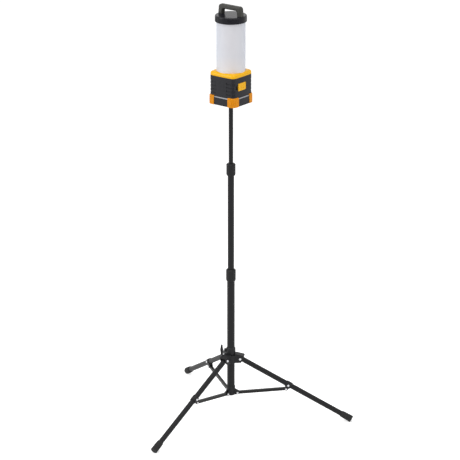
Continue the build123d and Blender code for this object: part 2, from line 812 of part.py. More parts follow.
with BuildPart() as grip_grooves:
    for z in groove_z:
        add(plan(body_side + 4, body_corner, z))
        extrude(amount=groove_h)
    for z in groove_z:
        add(plan(body_side - 2 * groove_depth, body_corner - groove_depth, z))
        extrude(amount=groove_h, mode=Mode.SUBTRACT)
    # Grooves run over the corners of the front and back, and stop short of the middles.
    with BuildSketch(Plane.XY.offset(lamp_z)):
        Rectangle(2 * groove_from, 2 * body_side)
        Rectangle(2 * body_side, 2 * groove_wrap)
    extrude(amount=body_top, mode=Mode.SUBTRACT)

with BuildPart() as housing:
    add(plan(body_side, body_corner, skirt_h))
    extrude(amount=body_top - skirt_h)
    add(plan(body_side - 2 * body_wall, body_corner - body_wall, skirt_h))
    extrude(amount=body_top - skirt_h, mode=Mode.SUBTRACT)
    add(grip_grooves.part, mode=Mode.SUBTRACT)
    with BuildSketch(door_plane):
        with Locations(((door_opening_front + door_opening_rear) / 2, 0)):
            Rectangle(door_opening_w, door_h + 2 * door_gap)
    extrude(amount=body_side, mode=Mode.SUBTRACT)
    # A finger notch beside the door's free edge, backed by a pad inside.
    with BuildSketch(door_plane.offset(face_out - 1.0 - notch_depth - notch_back_t)):
        with Locations((door_opening_front - notch_w + 1.5, 0)):
            Rectangle(notch_w - 2, notch_h + 4)
    extrude(amount=notch_back_t + notch_depth - 1.0)
    with BuildSketch(door_plane.offset(face_out - notch_depth - 1.0)):
        with Locations((door_opening_front - notch_w / 2 + 1, 0)):
            RectangleRounded(notch_w, notch_h, 4)
    extrude(amount=body_side, mode=Mode.SUBTRACT)
    # Sockets for the door's hinge pin.
    with BuildSketch(Plane.XY.offset(lamp_z + door_z)):
        with Locations((door_pivot_x, door_pivot_y)):
            Circle(door_pin_d / 2 + running_gap)
    extrude(amount=door_h / 2 + door_pin_reach + 2 * door_gap, both=True, mode=Mode.SUBTRACT)
    with BuildSketch(button_plane):
        Circle(button_d / 2 + running_gap)
    extrude(amount=body_side, mode=Mode.SUBTRACT)

with BuildPart() as front_housing:
    add(housing.part)
    split(bisect_by=Plane.XZ, keep=Keep.TOP)
with BuildPart() as rear_housing:
    add(housing.part)
    split(bisect_by=Plane.XZ, keep=Keep.BOTTOM)
write(front_housing.part, "front_housing")
write(rear_housing.part, "rear_housing")

with BuildPart() as port_door:
    with BuildSketch(door_plane.offset(door_x - door_t)):
        with Locations((door_mid_y, 0)):
            RectangleRounded(door_rear - door_front, door_h, 2.0)
    extrude(amount=door_t)
    fillet(port_door.faces().sort_by(Axis.X)[-1].edges(), 0.8)
    with BuildSketch(door_plane.offset(door_x - 0.5)):
        with Locations((door_mid_y + 4, 0)):
            Rectangle(14, 12)
            Rectangle(11.6, 9.6, mode=Mode.SUBTRACT)
    extrude(amount=0.5, mode=Mode.SUBTRACT)
    with BuildSketch(Plane.XY.offset(lamp_z + door_z)):
        with Locations((door_pivot_x, door_pivot_y)):
            Circle(door_barrel_d / 2)
        with Locations((door_pivot_x, (door_pivot_y + door_rear) / 2 - 1)):
            Rectangle(door_barrel_d - 1.4, door_pivot_y - door_rear + 2)
    extrude(amount=door_h / 2 - 1, both=True)
    with BuildSketch(Plane.XY.offset(lamp_z + door_z)):
        with Locations((door_pivot_x, door_pivot_y)):
            Circle(door_pin_d / 2)
    extrude(amount=door_h / 2 + door_pin_reach, both=True)
write(port_door.part, "port_door")

with BuildPart() as port_panel:
    with BuildSketch(door_plane.offset(panel_x - panel_t)):
        with Locations((door_mid_y + 2, 0)):
            Rectangle(door_opening_w + 2 * panel_margin, door_h + 2 * panel_margin)
    extrude(amount=panel_t)
    with BuildSketch(door_plane.offset(panel_x - panel_t)):
        with Locations((door_mid_y, 0)):
            Rectangle(door_rear - door_front - 6, door_h - 8)
    extrude(amount=-socket_box_t)
    with BuildSketch(door_plane.offset(panel_x)):
        with Locations((door_mid_y - 11, 0)):
            Circle(jack_d / 2)
            Circle(jack_pin_d / 2, mode=Mode.SUBTRACT)
        with Locations((door_mid_y + 8, 5), (door_mid_y + 8, -5)):
            Rectangle(usb_w, usb_h)
            Rectangle(usb_w - 1.6, usb_tongue_t, mode=Mode.SUBTRACT)
    extrude(amount=-jack_depth, mode=Mode.SUBTRACT)
write(port_panel.part, "port_panel")

inner_wall_y = body_side / 2 + bulge - body_wall
with BuildPart() as power_button:
    with BuildSketch(button_plane.offset(button_y)):
        Circle(button_d / 2)
    extrude(amount=-button_t)
    fillet(power_button.edges().sort_by(Axis.Y)[-1], 1.2)
    with BuildSketch(button_plane.offset(button_y)):
        Circle(button_d / 2 - 3.2)
        Circle(button_d / 2 - 4.0, mode=Mode.SUBTRACT)
    extrude(amount=-0.5, mode=Mode.SUBTRACT)
    with BuildSketch(button_plane.offset(inner_wall_y - clear_gap)):
        Circle(button_flange_d / 2)
    extrude(amount=-1.2)
    with BuildSketch(button_plane.offset(button_y - button_t)):
        Circle(3)
    extrude(amount=-1.2)
write(power_button.part, "power_button")

switch_front = button_y - button_t - 1.2 - button_travel - clear_gap
with BuildPart() as power_switch:
    with BuildSketch(button_plane.offset(switch_front)):
        Rectangle(switch_side, switch_side)
    extrude(amount=-switch_t)
    with BuildSketch(button_plane.offset(switch_front - switch_t)):
        Rectangle(2 * switch_post_at + switch_post, switch_post)
    extrude(amount=switch_post / 2)
    with BuildSketch(button_plane.offset(switch_front - switch_t)):
        with Locations((switch_post_at, 0), (-switch_post_at, 0)):
            Rectangle(switch_post, switch_post)
    extrude(amount=inner_wall_y - clear_gap - (switch_front - switch_t))
write(power_switch.part, "power_switch")

# ======================= battery and driver =======================

cell_places = Locations((cell_x, cell_y), (cell_x, -cell_y), (-cell_x, cell_y), (-cell_x, -cell_y))

with BuildPart() as battery_tray:
    with BuildSketch(Plane.XY.offset(lamp_z + skirt_h)):
        RectangleRounded(tray_side, tray_side, body_corner)
        Circle(boss_outer_r + 2, mode=Mode.SUBTRACT)
    extrude(amount=tray_t)
    with BuildSketch(Plane.XY.offset(lamp_z + skirt_h + tray_t)):
        with cell_places:
            Circle(cell_d / 2 + cup_wall)
        with cell_places:
            Circle(cell_d / 2 + fixed_gap, mode=Mode.SUBTRACT)
    extrude(amount=cup_h)
write(battery_tray.part, "battery_tray")

cell_bottom = skirt_h + tray_t
with BuildPart() as battery_cells:
    with BuildSketch(Plane.XY.offset(lamp_z + cell_bottom)):
        with cell_places:
            Circle(cell_d / 2)
    extrude(amount=cell_length)
write(battery_cells.part, "battery_cells")

with BuildPart() as driver_board:
    with BuildSketch(Plane.XY.offset(lamp_z + body_top - board_drop)):
        Rectangle(board_side, board_side)
    extrude(amount=-board_t)
    with BuildSketch(Plane.XY.offset(lamp_z + body_top - board_drop)):
        with GridLocations(board_side - 10, board_side - 10, 2, 2):
            Circle(3)
    extrude(amount=board_drop)
    with BuildSketch(Plane.XY.offset(lamp_z + body_top - board_drop)):
        with Locations((-8, 4)):
            Rectangle(12, 12)
        with Locations((10, -6)):
            Circle(5)
        with Locations((12, 12)):
            Rectangle(7, 5)
    extrude(amount=3)
write(driver_board.part, "driver_board")

# ======================= shoulder and diffuser =======================

diffuser_r = diffuser_d / 2
shoulder_top = body_top + shoulder_h
seat_z = body_top + shoulder_floor

with BuildPart() as shoulder:
    add(plan(body_side + 0.8, body_corner + 2, body_top))
    extrude(amount=shoulder_h)
    fillet(shoulder.faces().sort_by(Axis.Z)[-1].edges(), shoulder_round)
    with BuildSketch(Plane.XY.offset(lamp_z + seat_z)):
        Circle(diffuser_r + fixed_gap)
    extrude(amount=shoulder_h, mode=Mode.SUBTRACT)
    with BuildSketch(Plane.XY.offset(lamp_z)):
        Circle(wire_hole_d / 2)
    extrude(amount=shoulder_top, mode=Mode.SUBTRACT)
write(shoulder.part, "shoulder")

diffuser_bottom = seat_z + seal_t
cap_ceiling = cap_bottom + cap_h - cap_roof
diffuser_top = cap_ceiling - seal_t

with BuildPart() as diffuser:
    with BuildSketch(Plane.XY.offset(lamp_z + diffuser_bottom)):
        Circle(diffuser_r)
        Circle(diffuser_r - diffuser_wall, mode=Mode.SUBTRACT)
    extrude(amount=diffuser_top - diffuser_bottom)
write(diffuser.part, "diffuser")

with BuildPart() as diffuser_seals:
    for z in (seat_z, diffuser_top):
        with BuildSketch(Plane.XY.offset(lamp_z + z)):
            Circle(diffuser_r)
            Circle(diffuser_r - diffuser_wall, mode=Mode.SUBTRACT)
        extrude(amount=seal_t)
write(diffuser_seals.part, "diffuser_seals")

# ======================= light source =======================

core_flange_r = diffuser_r - diffuser_wall - core_flange_gap
with BuildPart() as led_core:
    with BuildSketch(Plane.XY.offset(lamp_z + seat_z)):
        Circle(core_flange_r)
    extrude(amount=core_flange_t)
    with BuildSketch(Plane.XY.offset(lamp_z + seat_z)):
        RegularPolygon(core_d / 2, 8, major_radius=False, rotation=22.5)
    extrude(amount=cap_ceiling - seat_z)
    with BuildSketch(Plane.XY.offset(lamp_z + seat_z)):
        Circle(core_d / 2 - core_wall)
    extrude(amount=cap_ceiling - seat_z, mode=Mode.SUBTRACT)
write(led_core.part, "led_core")

strip_z = (seat_z + core_flange_t + cap_ceiling) / 2
strip_plane = Plane(
    origin=(core_d / 2 + fixed_gap, 0, lamp_z + strip_z), x_dir=(0, 1, 0), z_dir=(1, 0, 0)
)
with BuildPart() as led_strip:
    with BuildSketch(strip_plane):
        Rectangle(strip_w, strip_h)
    extrude(amount=strip_t)
    with BuildSketch(strip_plane.offset(strip_t)):
        with GridLocations(0, chip_pitch, 1, chips):
            Rectangle(chip_side, chip_side)
    extrude(amount=chip_t)
with BuildPart() as led_strips:
    for i in range(8):
        add(led_strip.part.rotate(Axis.Z, 45 * i))
write(led_strips.part, "led_strips")

# ======================= cap and handle =======================

cap_top = cap_bottom + cap_h
with BuildPart() as cap:
    with BuildSketch(Plane.XY.offset(lamp_z + cap_bottom)):
        Circle(cap_d / 2)
    extrude(amount=cap_h)
    fillet(cap.edges().group_by(Axis.Z)[-1], cap_round)
    fillet(cap.edges().group_by(Axis.Z)[0], 1.5)
    # Finger flutes in four zones, between plain pads on the lamp's four sides.
    zone_span = (cap_flutes_per_zone - 1) * cap_flute_pitch
    with BuildSketch(Plane.XY.offset(lamp_z + cap_bottom)):
        for corner_angle in (45, 135, 225, 315):
            with PolarLocations(
                cap_d / 2 + cap_flute_d / 2 - cap_flute_depth,
                cap_flutes_per_zone,
                start_angle=corner_angle - zone_span / 2,
                angular_range=zone_span,
                endpoint=True,
            ):
                Circle(cap_flute_d / 2)
    extrude(amount=cap_h - cap_round, mode=Mode.SUBTRACT)
    with BuildSketch(Plane.XY.offset(lamp_z + cap_bottom)):
        Circle(diffuser_r + fixed_gap)
    extrude(amount=cap_h - cap_roof, mode=Mode.SUBTRACT)
    with BuildSketch(Plane.XY.offset(lamp_z + cap_ceiling)):
        with Locations((handle_screw_x, 0), (-handle_screw_x, 0)):
            Circle(handle_screw_d / 2 + fixed_gap)
    extrude(amount=cap_roof, mode=Mode.SUBTRACT)
write(cap.part, "cap")

window_half = handle_bottom_w / 2 - handle_leg
with BuildPart() as handle:
    with BuildSketch(side_plane) as outer_form:
        with BuildLine():
            Polyline(
                (-handle_bottom_w / 2, lamp_z + cap_top),
                (-handle_top_w / 2, lamp_z + cap_top + handle_h),
                (handle_top_w / 2, lamp_z + cap_top + handle_h),
                (handle_bottom_w / 2, lamp_z + cap_top),
                close=True,
            )
        make_face()
        fillet(outer_form.vertices().group_by(Axis.Y)[-1], handle_corner)
    extrude(amount=handle_depth / 2, both=True)
    with BuildSketch(side_plane) as window:
        with BuildLine():
            Polyline(
                (-window_half, lamp_z + cap_top),
                (-window_half + 2, lamp_z + cap_top + handle_h - handle_bar),
                (window_half - 2, lamp_z + cap_top + handle_h - handle_bar),
                (window_half, lamp_z + cap_top),
                close=True,
            )
        make_face()
        fillet(window.vertices().group_by(Axis.Y)[-1], handle_window_round)
    extrude(amount=handle_depth, both=True, mode=Mode.SUBTRACT)
    rims = handle.edges().filter_by(lambda e: abs(abs(e.center().Y) - handle_depth / 2) < 0.01)
    fillet(rims.filter_by(lambda e: e.center().Z > lamp_z + cap_top + 0.1), handle_edge)
    with BuildSketch(Plane.XY.offset(lamp_z + cap_top)):
        with Locations((handle_screw_x, 0), (-handle_screw_x, 0)):
            Circle(handle_screw_d / 2 + fixed_gap)
    extrude(amount=handle_screw_up + 1, mode=Mode.SUBTRACT)
write(handle.part, "handle")

with BuildPart() as handle_screws:
    with BuildSketch(Plane.XY.offset(lamp_z + cap_ceiling)):
        with Locations((handle_screw_x, 0), (-handle_screw_x, 0)):
            Circle(handle_screw_head_d / 2)
    extrude(amount=-handle_screw_head_t)
    with BuildSketch(Plane.XY.offset(lamp_z + cap_ceiling)):
        with Locations((handle_screw_x, 0), (-handle_screw_x, 0)):
            Circle(handle_screw_d / 2)
    extrude(amount=cap_roof + handle_screw_up)
write(handle_screws.part, "handle_screws")
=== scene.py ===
import bpy
from math import cos, radians, sin
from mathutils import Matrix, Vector


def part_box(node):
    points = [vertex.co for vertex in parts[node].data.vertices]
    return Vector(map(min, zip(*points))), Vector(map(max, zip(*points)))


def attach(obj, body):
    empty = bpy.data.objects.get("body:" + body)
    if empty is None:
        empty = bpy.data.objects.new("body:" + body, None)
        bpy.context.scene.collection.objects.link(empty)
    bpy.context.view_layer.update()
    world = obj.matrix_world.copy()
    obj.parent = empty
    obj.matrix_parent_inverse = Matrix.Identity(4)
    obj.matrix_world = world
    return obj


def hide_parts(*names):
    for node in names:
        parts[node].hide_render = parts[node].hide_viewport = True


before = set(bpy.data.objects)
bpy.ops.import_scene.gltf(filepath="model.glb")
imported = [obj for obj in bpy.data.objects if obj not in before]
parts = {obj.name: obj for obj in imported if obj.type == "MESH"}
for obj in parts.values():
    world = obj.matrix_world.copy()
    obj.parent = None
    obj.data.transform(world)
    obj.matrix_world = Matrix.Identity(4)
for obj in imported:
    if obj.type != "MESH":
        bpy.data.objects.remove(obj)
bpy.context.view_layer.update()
bpy.ops.object.select_all(action="DESELECT")


# ---- Mast tubes and leg tubes ----
# Thin-walled steel tube with a smooth black powder coat, which shows a fine
# orange-peel and a few dull rubs where the tubes slide in each other.
def new_group(name, inputs, outputs):
    """An empty shader group with named sockets; each input is (kind, name, default)."""
    group = bpy.data.node_groups.new(name, "ShaderNodeTree")
    for kind, label, value in inputs:
        socket = group.interface.new_socket(label, in_out="INPUT", socket_type=kind)
        socket.default_value = value
    for kind, label in outputs:
        group.interface.new_socket(label, in_out="OUTPUT", socket_type=kind)
    start = group.nodes.new("NodeGroupInput")
    end = group.nodes.new("NodeGroupOutput")
    return group, start, end


def math_node(tree, operation, a, b=None, clamp=False):
    """A Math node with its inputs set from numbers or sockets."""
    node = tree.nodes.new("ShaderNodeMath")
    node.operation = operation
    node.use_clamp = clamp
    for i, value in enumerate((a, b)):
        if value is None:
            continue
        if isinstance(value, (int, float)):
            node.inputs[i].default_value = value
        else:
            tree.links.new(value, node.inputs[i])
    return node.outputs[0]


# Fine surface grain: a height for bump and a slight spread of roughness.
grain, grain_in, grain_out = new_group(
    "moulded_grain",
    [
        ("NodeSocketFloat", "Size", 900.0),
        ("NodeSocketFloat", "Patch Size", 40.0),
        ("NodeSocketFloat", "Roughness", 0.5),
        ("NodeSocketFloat", "Spread", 0.1),
    ],
    [("NodeSocketFloat", "Height"), ("NodeSocketFloat", "Roughness"), ("NodeSocketFloat", "Patches")],
)
place = grain.nodes.new("ShaderNodeTexCoord")
fine = grain.nodes.new("ShaderNodeTexNoise")
fine.inputs["Detail"].default_value = 2.0
grain.links.new(place.outputs["Object"], fine.inputs["Vector"])
grain.links.new(grain_in.outputs["Size"], fine.inputs["Scale"])
grain.links.new(fine.outputs["Fac"], grain_out.inputs["Height"])
patch = grain.nodes.new("ShaderNodeTexNoise")
patch.inputs["Detail"].default_value = 4.0
grain.links.new(place.outputs["Object"], patch.inputs["Vector"])
grain.links.new(grain_in.outputs["Patch Size"], patch.inputs["Scale"])
centred = math_node(grain, "SUBTRACT", patch.outputs["Fac"], 0.5)
swing = math_node(grain, "MULTIPLY", centred, grain_in.outputs["Spread"])
swing = math_node(grain, "MULTIPLY", swing, 2.0)
total = math_node(grain, "ADD", swing, grain_in.outputs["Roughness"], clamp=True)
grain.links.new(total, grain_out.inputs["Roughness"])
grain.links.new(patch.outputs["Fac"], grain_out.inputs["Patches"])

# Rubbed edges: a mask that is 1 on sharp outer edges, broken up by noise.
rub, rub_in, rub_out = new_group(
    "rubbed_edges",
    [
        ("NodeSocketFloat", "Width", 0.0012),
        ("NodeSocketFloat", "Amount", 0.5),
        ("NodeSocketFloat", "Break Up", 150.0),
    ],
    [("NodeSocketFloat", "Mask")],
)
rounded = rub.nodes.new("ShaderNodeBevel")
rounded.samples = 4
rub.links.new(rub_in.outputs["Width"], rounded.inputs["Radius"])
facing = rub.nodes.new("ShaderNodeNewGeometry")
agree = rub.nodes.new("ShaderNodeVectorMath")
agree.operation = "DOT_PRODUCT"
rub.links.new(rounded.outputs["Normal"], agree.inputs[0])
rub.links.new(facing.outputs["Normal"], agree.inputs[1])
edge = math_node(rub, "SUBTRACT", 1.0, agree.outputs["Value"], clamp=True)
edge = math_node(rub, "MULTIPLY", edge, 6.0, clamp=True)
where = rub.nodes.new("ShaderNodeTexCoord")
chips = rub.nodes.new("ShaderNodeTexNoise")
chips.inputs["Detail"].default_value = 5.0
rub.links.new(where.outputs["Object"], chips.inputs["Vector"])
rub.links.new(rub_in.outputs["Break Up"], chips.inputs["Scale"])
broken = math_node(rub, "GREATER_THAN", chips.outputs["Fac"], 0.47)
edge = math_node(rub, "MULTIPLY", edge, broken)
edge = math_node(rub, "MULTIPLY", edge, rub_in.outputs["Amount"], clamp=True)
rub.links.new(edge, rub_out.inputs["Mask"])


def finish(name, colour, worn, roughness, size=900.0, depth=0.05, patch_size=40.0, spread=0.08,
           width=0.0012, amount=0.5, shade=0.12, metallic=0.0, coat=0.0, specular=0.5):
    """A material with grain, patchy gloss, slight shade changes and rubbed edges."""
    mat = bpy.data.materials.new(name)
    mat.use_nodes = True
    tree = mat.node_tree
    shader = tree.nodes["Principled BSDF"]
    skin = tree.nodes.new("ShaderNodeGroup")
    skin.node_tree = grain
    skin.inputs["Size"].default_value = size
    skin.inputs["Patch Size"].default_value = patch_size
    skin.inputs["Roughness"].default_value = roughness
    skin.inputs["Spread"].default_value = spread
    edges = tree.nodes.new("ShaderNodeGroup")
    edges.node_tree = rub
    edges.inputs["Width"].default_value = width
    edges.inputs["Amount"].default_value = amount
    tones = tree.nodes.new("ShaderNodeMix")
    tones.data_type = "RGBA"
    tones.inputs[6].default_value = [c * (1 - shade) for c in colour] + [1]
    tones.inputs[7].default_value = [min(1, c * (1 + shade)) for c in colour] + [1]
    tree.links.new(skin.outputs["Patches"], tones.inputs[0])
    wear = tree.nodes.new("ShaderNodeMix")
    wear.data_type = "RGBA"
    tree.links.new(edges.outputs["Mask"], wear.inputs[0])
    tree.links.new(tones.outputs[2], wear.inputs[6])
    wear.inputs[7].default_value = list(worn) + [1]
    tree.links.new(wear.outputs[2], shader.inputs["Base Color"])
    tree.links.new(skin.outputs["Roughness"], shader.inputs["Roughness"])
    relief = tree.nodes.new("ShaderNodeBump")
    relief.inputs["Strength"].default_value = depth
    relief.inputs["Distance"].default_value = 0.0004
    tree.links.new(skin.outputs["Height"], relief.inputs["Height"])
    tree.links.new(relief.outputs["Normal"], shader.inputs["Normal"])
    shader.inputs["Metallic"].default_value = metallic
    shader.inputs["Specular IOR Level"].default_value = specular
    shader.inputs["Coat Weight"].default_value = coat
    shader.inputs["Coat Roughness"].default_value = 0.1
    return mat


def dress(mat, *names):
    """Gives CAD nodes their finished material."""
    for name in names:
        mesh = parts[name].data
        mesh.materials.clear()
        mesh.materials.append(mat)


powder_coat = finish(
    "black_powder_coat", (0.008, 0.008, 0.009), (0.05, 0.05, 0.053), 0.48, size=1400.0,
    depth=0.12, patch_size=30.0, spread=0.08, amount=0.6, shade=0.2, specular=0.2,
)
dress(powder_coat, "lower_tube", "middle_tube", "top_tube", "leg_front", "leg_right", "leg_left")

# ---- Braces ----
# Narrow pressed-steel channels, painted black, on a steel rivet at each end.
brace_paint = finish(
    "black_brace_paint", (0.008, 0.0076, 0.0074), (0.09, 0.087, 0.084), 0.4, size=1100.0,
    depth=0.1, width=0.0008, amount=0.7, shade=0.2, specular=0.22,
)
dress(brace_paint, "brace_front", "brace_right", "brace_left")

# ---- Hub, collars, clips and twist locks ----
# Glass-filled nylon mouldings with a fine satin grain, paler where hands and
# tubes have polished the corners.
nylon = finish(
    "black_nylon_moulding", (0.008, 0.008, 0.009), (0.045, 0.045, 0.048), 0.44, size=700.0,
    depth=0.22, patch_size=60.0, spread=0.1, width=0.001, amount=0.6, shade=0.2, specular=0.22,
)
dress(
    nylon, "hub", "bottom_collar", "tube_end_plug", "lower_lock_collar", "lower_lock_ferrule",
    "upper_lock_collar", "upper_lock_ferrule", "lock_knob", "leg_clip_front", "leg_clip_right",
    "leg_clip_left", "leg_plug_front", "leg_plug_right", "leg_plug_left",
)

# ---- Wing knob ----
# A moulded nylon wing on a round core, turned by finger and thumb to clamp
# the hub; its wings thin towards their tips and its corners are soft.
wing_depth, wing_width, wing_span = 0.0086, 0.0068, 0.04
core_radius, core_depth = 0.0064, 0.0098
screw_direction = radians(210)
bpy.ops.mesh.primitive_cube_add(
    size=1, location=(0, 0, 0), scale=(wing_depth, wing_width, wing_span)
)
wing = bpy.context.object
wing.name = "wing_knob"
bpy.ops.object.transform_apply(location=True, rotation=True, scale=True)
bpy.ops.object.mode_set(mode="EDIT")
bpy.ops.mesh.select_mode(type="VERT")
bpy.ops.mesh.select_all(action="SELECT")
bpy.ops.mesh.subdivide(number_cuts=5)
# Beyond each distance from the middle, the wing narrows by these two factors.
for beyond, depth_factor, width_factor in ((0.0125, 0.86, 0.72), (0.0185, 0.8, 0.8)):
    bpy.ops.mesh.select_all(action="DESELECT")
    bpy.ops.object.mode_set(mode="OBJECT")
    for point in wing.data.vertices:
        point.select = abs(point.co.z) > beyond
    bpy.ops.object.mode_set(mode="EDIT")
    bpy.ops.transform.resize(value=(depth_factor, width_factor, 1))
bpy.ops.object.mode_set(mode="OBJECT")
soften = wing.modifiers.new("soft corners", "SUBSURF")
soften.levels = 2
soften.render_levels = 2
bpy.ops.object.modifier_apply(modifier=soften.name)
bpy.ops.object.select_all(action="DESELECT")
bpy.ops.mesh.primitive_cylinder_add(
    vertices=48, radius=core_radius, depth=core_depth, location=(0, 0, 0),
    rotation=(0, radians(90), 0),
)
core = bpy.context.object
bpy.ops.object.transform_apply(location=True, rotation=True, scale=True)
bpy.ops.object.mode_set(mode="EDIT")
bpy.ops.mesh.select_mode(type="EDGE")
bpy.ops.mesh.select_all(action="DESELECT")
bpy.ops.object.mode_set(mode="OBJECT")
for side in core.data.edges:
    ends = [core.data.vertices[i].co.x for i in side.vertices]
    side.select = abs(ends[0] - ends[1]) < 1e-6
bpy.ops.object.mode_set(mode="EDIT")
bpy.ops.mesh.bevel(offset=0.001, segments=3)
bpy.ops.object.mode_set(mode="OBJECT")
union = wing.modifiers.new("core", "BOOLEAN")
union.operation = "UNION"
union.solver = "EXACT"
union.object = core
bpy.ops.object.select_all(action="DESELECT")
wing.select_set(True)
bpy.context.view_layer.objects.active = wing
bpy.ops.object.modifier_apply(modifier=union.name)
bpy.data.objects.remove(core)
knob_low, knob_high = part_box("lock_knob")
wing.location = (knob_low + knob_high) / 2
wing.rotation_euler = (0, 0, screw_direction)
bpy.ops.object.transform_apply(location=True, rotation=True, scale=True)
bpy.ops.object.shade_smooth_by_angle(angle=radians(35))
wing.data.materials.clear()
wing.data.materials.append(nylon)
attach(wing, "lock_screw")
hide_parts("lock_knob")
bpy.ops.object.select_all(action="DESELECT")

# ---- Liners, stop rings and the lamp's socket bush ----
# Natural grey nylon rings that slide on the painted tubes.
slide_ring = finish(
    "grey_nylon_ring", (0.2, 0.2, 0.205), (0.32, 0.32, 0.32), 0.42, size=800.0, depth=0.1,
)
dress(
    slide_ring, "hub_liner", "lower_lock_bush", "upper_lock_bush", "middle_stop_ring",
    "top_stop_ring", "socket_bush",
)

# ---- Rivets, screws and the lock screw ----
# Zinc-plated steel, with a fine turned sheen.
zinc = finish(
    "zinc_plated_steel", (0.62, 0.62, 0.64), (0.8, 0.8, 0.8), 0.3, size=1800.0, depth=0.08,
    spread=0.12, metallic=1.0,
)
dress(
    zinc, "collar_rivets", "hub_rivets", "leg_rivets_front", "leg_rivets_right",
    "leg_rivets_left", "lock_screw", "base_screws", "handle_screws",
)

# A leg runs from its pivot in the hub down to the middle of its foot's end, as
# (distance from the mast, 0, height); the clip is on it, and the brace's pin below.
leg_top = Vector((0.036, 0, 0.227))
boot_end = Vector((0.446, 0, 0.0096))
up_leg = (leg_top - boot_end).normalized()
under_leg = Vector((-up_leg.z, 0, up_leg.x))
clip_rivet = leg_top - up_leg * 0.201
brace_rivet = clip_rivet + under_leg * 0.018
collar_rivet = Vector((0.026, 0, 0.092))

# Each rivet's head is peened to a low dome, set a hair into the flat head.
dome_radius, dome_flatness, sunk = 0.003, 0.36, 0.00005
bpy.ops.mesh.primitive_uv_sphere_add(
    segments=24, ring_count=12, radius=dome_radius, location=(0, 0, 0)
)
dome = bpy.context.object
dome.name = "rivet_dome"
bpy.ops.object.mode_set(mode="EDIT")
bpy.ops.mesh.select_all(action="SELECT")
bpy.ops.transform.resize(value=(1, 1, dome_flatness))
bpy.ops.mesh.bisect(plane_co=(0, 0, -0.0001), plane_no=(0, 0, 1), clear_inner=True, use_fill=True)
bpy.ops.object.mode_set(mode="OBJECT")
bpy.ops.object.shade_smooth_by_angle(angle=radians(40))
for side, turn in (("front", -90), ("right", 30), ("left", 150)):
    # The last number is the flat head's face, from the middle of the leg.
    for joint_name, body, centre, face_at in (
        ("hub", "hub", leg_top, 0.0147),
        ("brace", "leg_" + side, brace_rivet, 0.00935),
        ("clip", "leg_" + side, clip_rivet, 0.0136),
        ("collar", "lower_mast", collar_rivet, 0.00935),
    ):
        copies = []
        for hand in (1, -1):
            bpy.ops.object.select_all(action="DESELECT")
            one = dome.copy()
            one.data = dome.data.copy()
            bpy.context.scene.collection.objects.link(one)
            across = Vector((-sin(radians(turn)), cos(radians(turn)), 0)) * hand
            out = Vector((cos(radians(turn)), sin(radians(turn)), 0)) * centre.x
            one.location = out + Vector((0, 0, centre.z)) + across * (face_at - sunk)
            one.rotation_mode = "QUATERNION"
            one.rotation_quaternion = across.to_track_quat("Z", "Y")
            one.select_set(True)
            bpy.context.view_layer.objects.active = one
            bpy.ops.object.transform_apply(location=True, rotation=True, scale=True)
            one.rotation_mode = "XYZ"
            copies.append(one)
        for one in copies:
            one.select_set(True)
        bpy.context.view_layer.objects.active = copies[0]
        bpy.ops.object.join()
        pair = bpy.context.object
        pair.name = f"{joint_name}_rivet_domes_{side}"
        pair.data.materials.clear()
        pair.data.materials.append(zinc)
        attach(pair, body)
bpy.data.objects.remove(dome)
bpy.ops.object.select_all(action="DESELECT")

# ---- Feet ----
# Moulded rubber boots pushed over the leg ends, cut flat where they meet the
# floor, with a dusty matte skin.
rubber = finish(
    "black_foot_rubber", (0.011, 0.011, 0.011), (0.06, 0.06, 0.058), 0.72, size=500.0,
    depth=0.35, patch_size=70.0, spread=0.12, width=0.0015, amount=0.6, shade=0.25,
    specular=0.3,
)
dress(rubber, "foot_front", "foot_right", "foot_left", "diffuser_seals")


def pick_cap(mesh, z):
    """In edit mode, selects only the flat face at height z."""
    bpy.ops.mesh.select_all(action="DESELECT")
    bpy.ops.object.mode_set(mode="OBJECT")
    for face in mesh.polygons:
        face.select = abs(face.center.z - z) < 1e-5 and abs(face.normal.z) > 0.9
    bpy.ops.object.mode_set(mode="EDIT")
    bpy.ops.mesh.select_mode(type="FACE")


# Each step up the boot is (height, radius); three low beads stand out near its lip.
boot_steps = [(0.0012, 0.0129), (0.010, 0.0126)]
for foot_of_bead, wall_r, bead_r, above_r in (
    (0.022, 0.0121, 0.0127, 0.0120), (0.029, 0.0119, 0.0124, 0.0117), (0.036, 0.0116, 0.0121, 0.0115),
):
    boot_steps += [
        (foot_of_bead, wall_r), (foot_of_bead + 0.0005, bead_r),
        (foot_of_bead + 0.0025, bead_r), (foot_of_bead + 0.003, above_r),
    ]
boot_steps += [(0.043, 0.0113), (0.0438, 0.0108)]
sole_radius, sole_thick = 0.012, 0.0006
tube_radius, socket_depth = 0.00956, 0.039
bpy.ops.mesh.primitive_cylinder_add(
    vertices=64, radius=sole_radius, depth=sole_thick, location=(0, 0, sole_thick / 2)
)
boot = bpy.context.object
boot.name = "rubber_boot"
bpy.ops.object.transform_apply(location=True, rotation=True, scale=True)
bpy.ops.object.mode_set(mode="EDIT")
top_z, top_r = sole_thick, sole_radius
for z, r in boot_steps:
    pick_cap(boot.data, top_z)
    bpy.ops.mesh.extrude_region_move(TRANSFORM_OT_translate={"value": (0, 0, z - top_z)})
    bpy.ops.transform.resize(value=(r / top_r, r / top_r, 1))
    top_z, top_r = z, r
pick_cap(boot.data, top_z)
bpy.ops.mesh.inset(thickness=top_r - tube_radius)
bpy.ops.mesh.extrude_region_move(TRANSFORM_OT_translate={"value": (0, 0, -socket_depth)})
bpy.ops.object.mode_set(mode="OBJECT")
bpy.ops.object.shade_smooth_by_angle(angle=radians(32))
